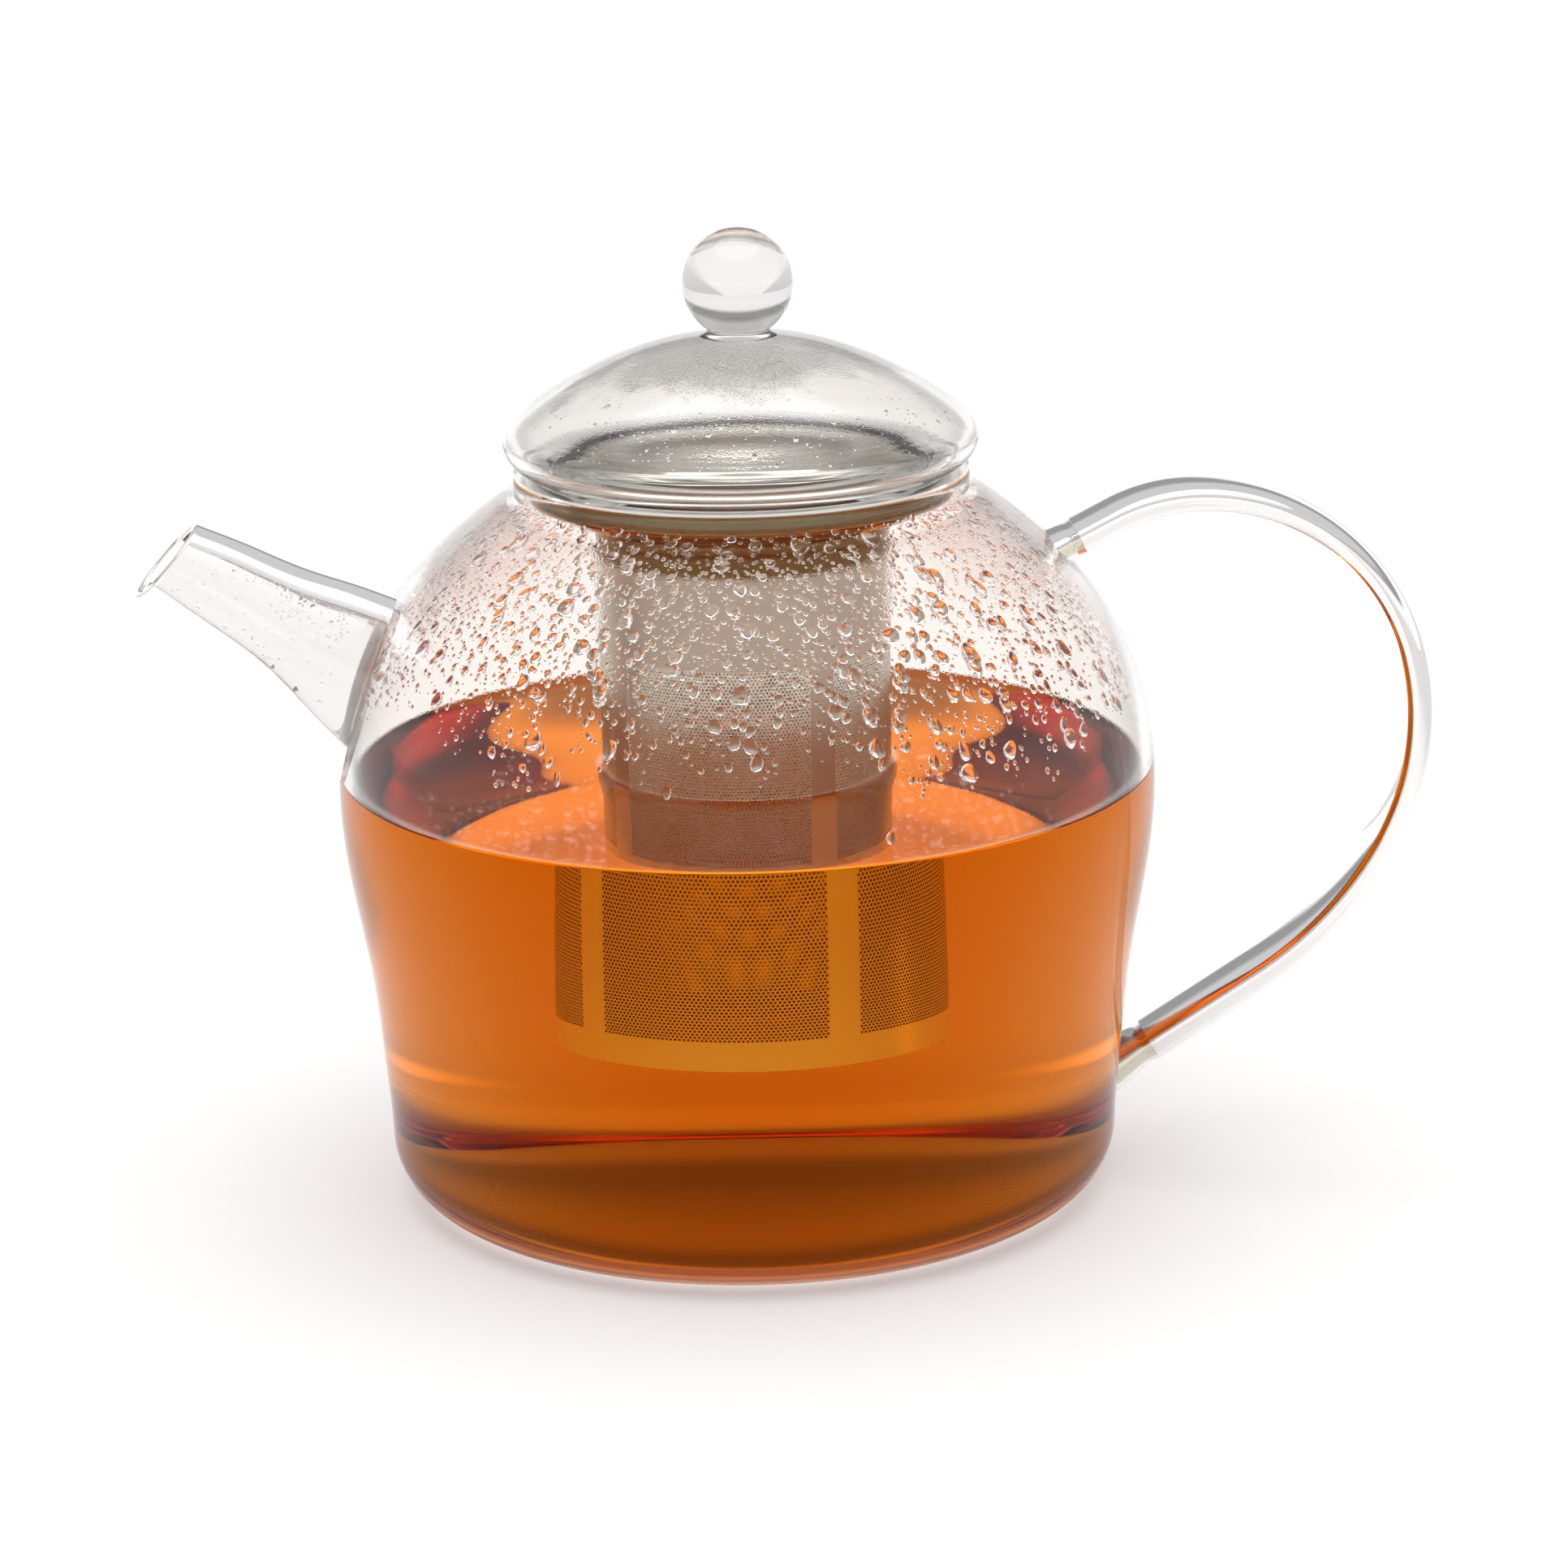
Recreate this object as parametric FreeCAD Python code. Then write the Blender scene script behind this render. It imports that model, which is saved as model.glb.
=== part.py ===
import FreeCAD, Part
import math
import os

# Glass teapot with a lift-out steel strainer and a domed glass lid.
# Millimetres. +Z is up. The origin is the centre of the flat foot, on the pot's own axis.
# The spout points to -X and the handle stands at +X, both in the XZ plane.

Vector = FreeCAD.Vector
UP = Vector(0, 0, 1)
FRONT = Vector(0, 1, 0)
ORIGIN = Vector(0, 0, 0)

# ---- driving dimensions -------------------------------------------------------------
# Glass body
BELLY_R = 75.0              # widest outer radius of the belly
BELLY_Z = 77.0              # height of the widest line
FOOT_R = 55.7               # flat standing face
HEEL_R = 12.0               # rounding between the foot and the wall
NECK_R = 41.4               # outside of the neck
RIM_Z = 135.3               # top of the neck's rim
NECK_RISE = 2.6             # straight part of the neck
SHOULDER_DROP = 5.1         # from the rim down to where the shoulder turns into the neck
SHOULDER_OUT = 3.4          # how far outside the neck that is
WALL = 2.2                  # thickness of the blown glass
FLOOR = 2.8                 # thickness of the base
FLOOR_EDGE = 4.0            # inside rounding between the floor and the wall

# Tea
TEA_Z = 79.5                # fill level
LIQUID_GAP = 0.3            # the tea's solid stays this far from the glass
LIFT_GAP = 1.0              # and this far from the strainer's path

# Strainer, pressed and rolled from thin steel sheet
SHEET = 0.5
SLEEVE_R = 26.6             # outside of the perforated sleeve
SLEEVE_BOTTOM = 35.0
COLLAR_R = 38.3             # outside of the wall that hangs in the neck
FLANGE_R = 41.2             # outside of the flange that lies on the rim
RIM_GAP = 0.3
COLLAR_WALL_FOOT = 131.8    # where the collar's wall turns inwards
COLLAR_BEND = (3.0, 2.6)    # how far that bend comes in and down
COLLAR_FLOOR_Z = 126.0      # where the collar's sloping floor meets the sleeve
SKIRT = 5.0                 # length of the collar's skirt round the sleeve
BOTTOM_CUP = 5.5            # height of the cup that closes the sleeve

# Lid
LID_R = 43.1                # widest outer radius
LID_WIDEST_Z = 141.6
LID_BOTTOM_Z = 136.5
LID_TOP_Z = 160.4
LID_WALL = 1.8
LID_CURL = 5.6              # how far the edge curls in under the widest line
LID_COLLAR_R = 35.0         # ring under the dome
LID_COLLAR_DEPTH = 6.0
KNOB_R = 10.0
KNOB_Z = 169.5              # centre of the ball
WAIST_R = 6.4               # short neck under the ball
WAIST_SINK = 0.9            # the waist's foot starts this far below the dome's crown

# Spout: sections from the root, inside the belly, to the mouth.
# Each is the middle of the section, its half height, its half breadth and its lean from level.
SPOUT_SECTIONS = (
    (-66.0, 94.5, 18.6, 13.6, 67.0),
    (-75.2, 101.3, 15.9, 12.8, 67.0),
    (-85.1, 109.3, 12.0, 11.2, 60.5),
    (-94.8, 115.9, 10.3, 10.0, 56.0),
    (-103.9, 121.8, 8.9, 9.2, 47.5),
)
SPOUT_WALL = 1.7

# Handle: a flattened glass rod bent in the XZ plane, in straight and round stretches
HANDLE_CREST = (83.2, 127.8)            # highest point of the centre line
HANDLE_THICK = 6.0
HANDLE_BROAD = 17.0
HANDLE_UPPER_ARC = (34.7, 26.6)         # radius and turn from the crest towards the shoulder
HANDLE_UPPER_RUN = 7.0
HANDLE_LOWER_ARCS = ((40.8, 76.0), (50.8, 46.2), (68.9, 25.8))
HANDLE_LOWER_RUN = 23.5
BOSS_FLARE = 1.3                        # how much wider a boss is on the belly than on the rod
BOSS_REACH = 12.0                       # length of a boss before the belly trims it


def save(name, shape):
    """Write one node's solid and print what it is."""
    shape.exportStep("parts/%s.step" % name)
    print("%-18s solids %d valid %s volume %.0f mm3"
          % (name, len(shape.Solids), shape.isValid(), shape.Volume))


def point(radius, height):
    return Vector(radius, 0, height)


def heading(angle):
    """The direction in the XZ plane at an angle above +X."""
    return Vector(math.cos(angle), 0, math.sin(angle))


def line(start, end):
    return Part.LineSegment(start, end).toShape()


def arc(start, middle, end):
    return Part.Arc(start, middle, end).toShape()


def smooth(points, first, last):
    """A curve through the points with the given directions at its ends."""
    curve = Part.BSplineCurve()
    curve.interpolate(Points=points, InitialTangent=first, FinalTangent=last)
    return curve


def inset(curve, points, depth):
    """The points moved off the curve, to the left of its direction, by depth."""
    moved = []
    for place in points:
        direction = curve.tangent(curve.parameter(place))[0]
        moved.append(place + Vector(-direction.z, 0, direction.x) * depth)
    return moved


def revolve(edges):
    """The solid of a closed outline of edges in the XZ plane, turned about the axis."""
    face = Part.Face(Part.Wire(Part.sortEdges(edges)[0]))
    return face.revolve(ORIGIN, UP, 360)


def outline(points):
    """Straight edges that join the points and close."""
    return [line(a, b) for a, b in zip(points, points[1:] + points[:1])]


# ---- glass body ---------------------------------------------------------------------
HEEL_TOP = point(FOOT_R + HEEL_R, HEEL_R)
SHOULDER_END = point(NECK_R + SHOULDER_OUT, RIM_Z - SHOULDER_DROP)
BELLY_START = Vector(0.02, 0, 1)
BELLY_FINISH = Vector(-0.86, 0, 0.51)
BELLY_POINTS = [
    HEEL_TOP,
    point(68.7, 26.0),
    point(70.4, 43.0),
    point(BELLY_R - 1.4, 61.5),
    point(BELLY_R, BELLY_Z),
    point(71.2, 99.0),
    point(62.3, 114.7),
    point(51.6, 125.2),
    SHOULDER_END,
]


def body_profile(depth):
    """Edges of the belly's outline at a depth below its outer face, from the foot to the rim."""
    curve = smooth(BELLY_POINTS, BELLY_START, BELLY_FINISH)
    points = inset(curve, BELLY_POINTS, depth)
    belly = smooth(points, BELLY_START, BELLY_FINISH)
    heel = HEEL_R - depth
    middle = point(FOOT_R, HEEL_R) + heading(math.radians(-45)) * heel
    foot = point(FOOT_R, HEEL_R - heel)
    neck_start = point(NECK_R - depth, RIM_Z - NECK_RISE - depth * 0.4)
    chord = (points[-1] + neck_start) * 0.5
    bend = chord + heading(math.radians(205)) * 0.6
    edges = [arc(foot, middle, points[0]), belly.toShape(), arc(points[-1], bend, neck_start)]
    return edges, foot, neck_start


def filled_body(depth, top):
    """The belly's outline at a depth, filled to its axis and cut off level at top."""
    edges, foot, neck = body_profile(depth)
    edges.append(line(neck, point(neck.x, RIM_Z)))
    edges.append(line(point(neck.x, RIM_Z), point(0, RIM_Z)))
    edges.append(line(point(0, RIM_Z), point(0, foot.z)))
    edges.append(line(point(0, foot.z), foot))
    solid = revolve(edges)
    if top < RIM_Z:
        keep = Part.makeCylinder(BELLY_R * 2, top, ORIGIN, UP)
        solid = solid.common(keep)
    return solid


def make_glass_body(spout_bore):
    outer, outer_foot, outer_neck = body_profile(0)
    inner, inner_foot, inner_neck = body_profile(WALL)
    rim = WALL / 2
    outer_top = point(outer_neck.x, RIM_Z - rim)
    inner_top = point(inner_neck.x, RIM_Z - rim)
    floor_edge = point(inner_foot.x - FLOOR_EDGE, FLOOR)
    edges = outer + inner
    edges.append(line(outer_neck, outer_top))
    edges.append(arc(outer_top, point(outer_neck.x - rim, RIM_Z), inner_top))
    edges.append(line(inner_top, inner_neck))
    edges.append(line(inner_foot, floor_edge))
    edges.append(line(floor_edge, point(0, FLOOR)))
    edges.append(line(point(0, FLOOR), ORIGIN))
    edges.append(line(ORIGIN, outer_foot))
    return revolve(edges).cut(spout_bore)


def make_tea():
    """The brew: as wide as the pot, with room kept for the strainer to lift."""
    tea = filled_body(WALL + LIQUID_GAP, TEA_Z)
    floor = Part.makeCylinder(BELLY_R * 2, FLOOR + LIQUID_GAP, ORIGIN, UP)
    well_r = SLEEVE_R + LIFT_GAP
    well = Part.makeCylinder(well_r, TEA_Z, point(0, SLEEVE_BOTTOM - LIFT_GAP), UP)
    return tea.cut(floor).cut(well)


# ---- spout --------------------------------------------------------------------------
def spout_section(middle_x, middle_z, half_height, half_breadth, lean, inward):
    """An elliptical outline across the spout."""
    tilt = math.radians(lean)
    major = Vector(math.cos(tilt), 0, math.sin(tilt))
    centre = Vector(middle_x, 0, middle_z)
    tall = half_height - inward
    broad = half_breadth - inward
    if tall >= broad:
        ellipse = Part.Ellipse(centre + major * tall, centre + FRONT * broad, centre)
    else:
        ellipse = Part.Ellipse(centre + FRONT * broad, centre + major * tall, centre)
    return Part.Wire(ellipse.toShape())


def spout_solid(inward, extra):
    """The spout's outside or bore. extra carries both ends on past the glass."""
    sections = [list(section) for section in SPOUT_SECTIONS]
    if extra:
        for end, beside in ((0, 1), (-1, -2)):
            for axis in (0, 1):
                step = sections[end][axis] - sections[beside][axis]
                sections[end][axis] += step * extra
    wires = [spout_section(*section, inward) for section in sections]
    return Part.makeLoft(wires, True, False)


# ---- handle -------------------------------------------------------------------------
def strap_outline(centre, across, thick, broad):
    """A flat-sided outline with round edges, standing square to the rod at centre."""
    radius = thick / 2
    flat = broad / 2 - radius
    a = centre + across * radius + FRONT * flat
    b = centre - across * radius + FRONT * flat
    c = centre - across * radius - FRONT * flat
    d = centre + across * radius - FRONT * flat
    far = centre + FRONT * (flat + radius)
    near = centre - FRONT * (flat + radius)
    return Part.Wire([arc(a, far, b), line(b, c), arc(c, near, d), line(d, a)])


def turn(start, angle, radius, sweep):
    """An arc from start that turns downwards; gives its edge, its end and its new angle."""
    centre = start + heading(angle - math.pi / 2) * radius
    middle = centre + heading(angle + math.pi / 2 - sweep / 2) * radius
    end = centre + heading(angle + math.pi / 2 - sweep) * radius
    return arc(start, middle, end), end, angle - sweep


def handle_path():
    """The rod's centre line from its upper end to its lower end, with both end directions."""
    crest = Vector(HANDLE_CREST[0], 0, HANDLE_CREST[1])
    radius, sweep = HANDLE_UPPER_ARC[0], math.radians(HANDLE_UPPER_ARC[1])
    centre = crest - UP * radius
    upper = centre + heading(math.pi / 2 + sweep) * radius
    middle = centre + heading(math.pi / 2 + sweep / 2) * radius
    start = upper - heading(sweep) * HANDLE_UPPER_RUN
    edges = [line(start, upper), arc(upper, middle, crest)]
    place, angle = crest, 0.0
    for radius, degrees in HANDLE_LOWER_ARCS:
        edge, place, angle = turn(place, angle, radius, math.radians(degrees))
        edges.append(edge)
    end = place + heading(angle) * HANDLE_LOWER_RUN
    edges.append(line(place, end))
    return Part.Wire(edges), (start, heading(sweep)), (end, heading(angle))


def make_boss(place, inward, body):
    """The fused foot between the rod's end and the belly. inward points into the belly."""
    across = Vector(-inward.z, 0, inward.x)
    sections = []
    for reach, scale in ((0.0, 1.0), (0.15, 0.9), (0.35, 1.0), (1.0, BOSS_FLARE)):
        centre = place + inward * (BOSS_REACH * reach)
        sections.append(strap_outline(centre, across, HANDLE_THICK * scale, HANDLE_BROAD * scale))
    boss = Part.makeLoft(sections, True, False).cut(body)
    return max(boss.Solids, key=lambda solid: solid.CenterOfMass.x)


# ---- strainer -----------------------------------------------------------------------
def make_strainer_collar():
    """Flange on the rim, wall in the neck, sloping floor and a short skirt round the sleeve."""
    flange_z = RIM_Z + RIM_GAP
    bend_in, bend_down = COLLAR_BEND
    skirt_r = SLEEVE_R + SHEET
    skirt_foot = COLLAR_FLOOR_Z - SKIRT
    below = [
        point(FLANGE_R, flange_z),
        point(COLLAR_R, flange_z),
        point(COLLAR_R, COLLAR_WALL_FOOT),
        point(COLLAR_R - bend_in, COLLAR_WALL_FOOT - bend_down),
        point(skirt_r, COLLAR_FLOOR_Z - SHEET),
        point(skirt_r, skirt_foot),
    ]
    above = [
        point(SLEEVE_R, skirt_foot),
        point(SLEEVE_R, COLLAR_FLOOR_Z),
        point(COLLAR_R - bend_in - SHEET / 2, COLLAR_WALL_FOOT - bend_down + SHEET),
        point(COLLAR_R - SHEET, COLLAR_WALL_FOOT + SHEET / 2),
        point(COLLAR_R - SHEET, flange_z + SHEET),
        point(FLANGE_R, flange_z + SHEET),
    ]
    return revolve(outline(below + above))


def make_strainer_sleeve():
    height = COLLAR_FLOOR_Z - SLEEVE_BOTTOM
    outer = Part.makeCylinder(SLEEVE_R, height, point(0, SLEEVE_BOTTOM), UP)
    inner = Part.makeCylinder(SLEEVE_R - SHEET, height, point(0, SLEEVE_BOTTOM), UP)
    return outer.cut(inner)


def make_strainer_bottom():
    """A shallow pressed cup that closes the sleeve from inside."""
    radius = SLEEVE_R - SHEET
    cup = Part.makeCylinder(radius, BOTTOM_CUP, point(0, SLEEVE_BOTTOM), UP)
    hollow = Part.makeCylinder(radius - SHEET, BOTTOM_CUP, point(0, SLEEVE_BOTTOM + SHEET), UP)
    return cup.cut(hollow)


# ---- lid ----------------------------------------------------------------------------
def curl_middle(widest, foot):
    """The middle of a round edge that is upright at its widest point and level at its foot."""
    bulge = math.sin(math.radians(45))
    across = foot.x + (widest.x - foot.x) * bulge
    return point(across, widest.z - (widest.z - foot.z) * bulge)


def make_lid_dome():
    widest = point(LID_R, LID_WIDEST_Z)
    top = point(0, LID_TOP_Z)
    points = [top, point(15.7, 158.4), point(30.5, 152.3), point(39.0, 147.0), widest]
    dome = smooth(points, Vector(1, 0, 0), Vector(0, 0, -1))
    inner_points = inset(dome, points, -LID_WALL)
    inner = smooth(inner_points, Vector(1, 0, 0), Vector(0, 0, -1))
    foot = point(LID_R - LID_CURL, LID_BOTTOM_Z)
    inner_foot = foot + UP * LID_WALL
    curl = curl_middle(widest, foot)
    inner_curl = curl_middle(inner_points[-1], inner_foot)
    root = point(LID_COLLAR_R, LID_BOTTOM_Z)
    inner_root = point(LID_COLLAR_R, LID_BOTTOM_Z + LID_WALL)
    edges = [
        dome.toShape(),
        arc(widest, curl, foot),
        line(foot, root),
        line(root, inner_root),
        line(inner_root, inner_foot),
        arc(inner_foot, inner_curl, inner_points[-1]),
        inner.toShape(),
        line(inner_points[0], top),
    ]
    return revolve(edges)


def make_lid_collar():
    """The glass ring under the dome that keeps the lid central in the strainer."""
    top = LID_BOTTOM_Z + LID_WALL
    foot = LID_BOTTOM_Z - LID_COLLAR_DEPTH
    inner_r = LID_COLLAR_R - LID_WALL
    edge = LID_WALL / 2
    edges = [
        line(point(LID_COLLAR_R, top), point(LID_COLLAR_R, foot + edge)),
        arc(point(LID_COLLAR_R, foot + edge), point(inner_r + edge, foot), point(inner_r, foot + edge)),
        line(point(inner_r, foot + edge), point(inner_r, top)),
        line(point(inner_r, top), point(LID_COLLAR_R, top)),
    ]
    return revolve(edges)


def make_lid_knob(dome):
    """A solid ball on a short flared waist, trimmed to the dome's crown."""
    meet = math.asin(WAIST_R * 0.9 / KNOB_R)
    ball_low = point(KNOB_R * math.sin(meet), KNOB_Z - KNOB_R * math.cos(meet))
    foot = point(WAIST_R + 0.6, LID_TOP_Z - WAIST_SINK)
    waist = point(WAIST_R - 0.5, (ball_low.z + foot.z) / 2)
    edges = [
        arc(point(0, KNOB_Z + KNOB_R), point(KNOB_R, KNOB_Z), ball_low),
        arc(ball_low, waist, foot),
        line(foot, point(0, foot.z)),
        line(point(0, foot.z), point(0, KNOB_Z + KNOB_R)),
    ]
    return revolve(edges).cut(dome)


def make_all():
    body = filled_body(0, RIM_Z)
    bore = spout_solid(SPOUT_WALL, 0.35)
    glass_body = make_glass_body(bore)
    spout = spout_solid(0, 0).cut(bore).cut(body)
    spout = max(spout.Solids, key=lambda solid: solid.Volume)
    path, upper, lower = handle_path()
    upper_across = Vector(-upper[1].z, 0, upper[1].x)
    section = strap_outline(upper[0], upper_across, HANDLE_THICK, HANDLE_BROAD)
    handle = path.makePipeShell([section], True, False)
    dome = make_lid_dome()
    return {
        "glass_body": glass_body,
        "spout": spout,
        "handle": handle,
        "handle_upper_boss": make_boss(upper[0], upper[1] * -1, body),
        "handle_lower_boss": make_boss(lower[0], lower[1], body),
        "tea": make_tea(),
        "strainer_collar": make_strainer_collar(),
        "strainer_sleeve": make_strainer_sleeve(),
        "strainer_bottom": make_strainer_bottom(),
        "lid_dome": dome,
        "lid_collar": make_lid_collar(),
        "lid_knob": make_lid_knob(dome),
    }


os.makedirs("parts", exist_ok=True)
for node_name, node_shape in make_all().items():
    save(node_name, node_shape)
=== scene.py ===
"""Glass teapot with tea, a lift-out perforated steel strainer and a domed lid.

Shapes are worked out in millimetres, in the frame's own axes, and turned into metres when a
mesh is made. +Z is up, the spout points to -X and the handle stands at +X.
"""
import math
import random

import bpy
import numpy as np
from mathutils import Matrix, Vector, noise as field


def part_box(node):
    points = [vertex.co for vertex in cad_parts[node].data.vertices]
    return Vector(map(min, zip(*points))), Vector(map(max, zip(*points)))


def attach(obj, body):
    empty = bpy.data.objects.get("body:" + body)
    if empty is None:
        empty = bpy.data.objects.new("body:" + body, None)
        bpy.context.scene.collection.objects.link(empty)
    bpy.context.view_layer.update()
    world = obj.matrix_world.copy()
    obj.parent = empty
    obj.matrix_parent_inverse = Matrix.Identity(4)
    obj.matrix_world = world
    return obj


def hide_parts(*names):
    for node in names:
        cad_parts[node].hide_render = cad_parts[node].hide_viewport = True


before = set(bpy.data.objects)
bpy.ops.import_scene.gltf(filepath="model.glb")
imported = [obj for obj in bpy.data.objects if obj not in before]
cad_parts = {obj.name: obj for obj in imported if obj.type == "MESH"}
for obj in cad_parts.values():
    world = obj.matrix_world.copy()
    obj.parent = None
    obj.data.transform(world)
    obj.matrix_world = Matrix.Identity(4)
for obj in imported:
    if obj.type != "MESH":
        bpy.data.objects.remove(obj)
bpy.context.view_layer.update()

MM = 0.001
TAU = 2 * math.pi
SEGMENTS = 256                  # round a large lathe-turned piece
SPOUT_SEGMENTS = 96
ROD_SEGMENTS = 64
CORNER_POINTS = 7               # on each rounded corner of an outline
FUSED = 0.03                    # clearance where two glass pieces are fused


def node_box(name):
    """A CAD node's lowest and highest corners, in millimetres."""
    low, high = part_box(name)
    return low / MM, high / MM


BODY_HIGH = node_box("glass_body")[1]
TEA_HIGH = node_box("tea")[1]
SLEEVE_LOW, SLEEVE_HIGH = node_box("strainer_sleeve")
COLLAR_LOW, COLLAR_HIGH = node_box("strainer_collar")
BOTTOM_HIGH = node_box("strainer_bottom")[1]
LID_LOW, LID_HIGH = node_box("lid_dome")
LID_COLLAR_LOW, LID_COLLAR_HIGH = node_box("lid_collar")
KNOB_HIGH = node_box("lid_knob")[1]

# ---- sizes, in millimetres ----
BELLY_R = BODY_HIGH.x           # widest line of the belly
BELLY_Z = 77.0
RIM_Z = BODY_HIGH.z
WALL = 2.2
FLOOR = 2.3
PUNT = 0.7                      # how far the middle of the base is pushed up
FOOT_R = 55.7
HEEL_R = 12.0
INNER_HEEL_R = 9.8
NECK_R = 41.4
NECK_RISE = 2.6
SHOULDER_OUT = 3.4
SHOULDER_DROP = 5.1
TEA_Z = TEA_HIGH.z
TEA_FILM = 0.03                 # between the tea's side and the glass that it wets
MENISCUS = 1.6                  # how far the tea climbs the glass
TEA_CONTACT_Z = TEA_Z + MENISCUS

SHEET = 0.5
SLEEVE_R = SLEEVE_HIGH.x
SLEEVE_FOOT = SLEEVE_LOW.z
SLEEVE_TOP = SLEEVE_HIGH.z
FLANGE_R = COLLAR_HIGH.x
FLANGE_Z = COLLAR_HIGH.z
COLLAR_R = 38.05                # to the middle of the sheet, where it stands in the neck
COLLAR_FOOT = 131.2
FUNNEL_POINT = (34.6, 128.9)
SKIRT_TOP = 125.8
SKIRT_FOOT = COLLAR_LOW.z

LID_R = LID_HIGH.x
LID_TOP = LID_HIGH.z
LID_FOOT = LID_LOW.z
LID_WALL = 1.8
LID_COLLAR_R = LID_COLLAR_HIGH.x
KNOB_R = KNOB_HIGH.x
KNOB_Z = KNOB_HIGH.z - KNOB_R

HANDLE_THICK = 6.0
HANDLE_BROAD = 17.0
HANDLE_SQUARENESS = 2.6         # 2 would be an ellipse

# Heights at which a look changes
GROUND_TOP = 6.0                # the foot is dulled up to here
FOG_TOP = 129.5                 # the neck above it stays clear
TEA_REFLECTION_TOP = 130.8               # below here the collar's outside is coloured brown, a painted reflection of the tea


# ---- curves ----
def unit(vector):
    vector = np.array(vector, float)
    return vector / np.linalg.norm(vector)


def smooth(points, first, last, step):
    """A C2 curve through points with given end directions, as points about step apart."""
    p = np.array(points, float)
    spans = np.linalg.norm(np.diff(p, axis=0), axis=1)
    count = len(p)
    system = np.zeros((count, count))
    wanted = np.zeros_like(p)
    system[0, 0] = system[-1, -1] = 1
    wanted[0], wanted[-1] = first, last
    for i in range(1, count - 1):
        before, after = spans[i - 1], spans[i]
        system[i, i - 1:i + 2] = after, 2 * (before + after), before
        come, go = p[i] - p[i - 1], p[i + 1] - p[i]
        wanted[i] = 3 * (after / before * come + before / after * go)
    slopes = np.linalg.solve(system, wanted)
    line = []
    for i, span in enumerate(spans):
        for u in np.arange(0, 1, 1 / math.ceil(span / step)):
            a = 2 * u ** 3 - 3 * u ** 2 + 1
            b = u ** 3 - 2 * u ** 2 + u
            c = u ** 3 - u ** 2
            bend = b * slopes[i] + c * slopes[i + 1]
            line.append(a * p[i] + (1 - a) * p[i + 1] + span * bend)
    line.append(p[-1])
    return np.array(line)


def arc(centre, radius, start, end, count):
    """Points round a centre from one angle to another, in degrees above +r."""
    angles = np.radians(np.linspace(start, end, count))
    circle = np.column_stack([np.cos(angles), np.sin(angles)])
    return np.array(centre) + radius * circle


def left_normals(line):
    along = np.gradient(line, axis=0)
    along /= np.linalg.norm(along, axis=1)[:, None]
    return np.column_stack([-along[:, 1], along[:, 0]])


def shifted(line, depth):
    """The line moved to its left by depth, which may differ from point to point."""
    return line + left_normals(line) * np.reshape(depth, (-1, 1))


def joined(*lines):
    """One outline of several, without points that repeat."""
    points = np.vstack([np.atleast_2d(line) for line in lines])
    keep = [True] + list(np.linalg.norm(np.diff(points, axis=0), axis=1) > 1e-4)
    return points[keep]


def rounded(corners, radii):
    """An open line through corners, each turned on its own radius."""
    points = [np.array(corners[0], float)]
    for i in range(1, len(corners) - 1):
        here = np.array(corners[i], float)
        back = unit(np.array(corners[i - 1]) - here)
        on = unit(np.array(corners[i + 1]) - here)
        half = math.acos(max(-1, min(1, back @ on))) / 2
        reach = radii[i - 1] / math.tan(half)
        centre = here + unit(back + on) * radii[i - 1] / math.sin(half)
        start, end = here + back * reach - centre, here + on * reach - centre
        turn = math.acos(max(-1, min(1, unit(start) @ unit(end))))
        for u in np.linspace(0, 1, CORNER_POINTS):
            mixed = (math.sin((1 - u) * turn) * start + math.sin(u * turn) * end) / math.sin(turn)
            points.append(centre + mixed)
    points.append(np.array(corners[-1], float))
    return np.array(points)


def refined(line, step):
    """The same line with points no further apart than step."""
    points = []
    for a, b in zip(line[:-1], line[1:]):
        pieces = max(1, math.ceil(np.linalg.norm(b - a) / step))
        points.extend(a + (b - a) * k / pieces for k in range(pieces))
    points.append(line[-1])
    return np.array(points)


def sheet_outline(line, thickness):
    """The closed outline of a sheet of metal whose middle follows line."""
    return joined(shifted(line, -thickness / 2), shifted(line, thickness / 2)[::-1])


# ---- meshes ----
def make_object(name, verts, faces, marks=None, sharp=40.0):
    """An object in metres from millimetre vertices. marks are the faces' material indices."""
    mesh = bpy.data.meshes.new(name)
    mesh.from_pydata(np.asarray(verts, float) * MM, [], faces)
    if marks is not None:
        mesh.polygons.foreach_set("material_index", np.asarray(marks, np.int32))
    obj = bpy.data.objects.new(name, mesh)
    bpy.context.scene.collection.objects.link(obj)
    shade(obj, sharp)
    return obj


def shade(obj, sharp=40.0):
    obj.data.shade_smooth()
    obj.data.set_sharp_from_angle(angle=math.radians(sharp))


def lathe(name, outline, marks=None, segments=SEGMENTS):
    """A closed (r, z) outline, drawn anticlockwise, turned about the axis."""
    angles = np.linspace(0, TAU, segments, endpoint=False)
    circle = np.column_stack([np.cos(angles), np.sin(angles)])
    verts, rings = [], []
    for r, z in outline:
        if r < 1e-3:
            rings.append([len(verts)] * segments)
            verts.append((0, 0, z))
        else:
            rings.append(list(range(len(verts), len(verts) + segments)))
            verts.extend((r * c, r * s, z) for c, s in circle)
    faces, indices = [], []
    for i in range(len(outline)):
        low, high = rings[i], rings[(i + 1) % len(outline)]
        if low[0] == low[1] and high[0] == high[1]:
            continue
        for k in range(segments):
            j = (k + 1) % segments
            corners = [low[k], low[j], high[j], high[k]]
            faces.append([c for n, c in enumerate(corners) if c not in corners[:n]])
            indices.append(marks[i] if marks is not None else 0)
    return make_object(name, verts, faces, indices)


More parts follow.
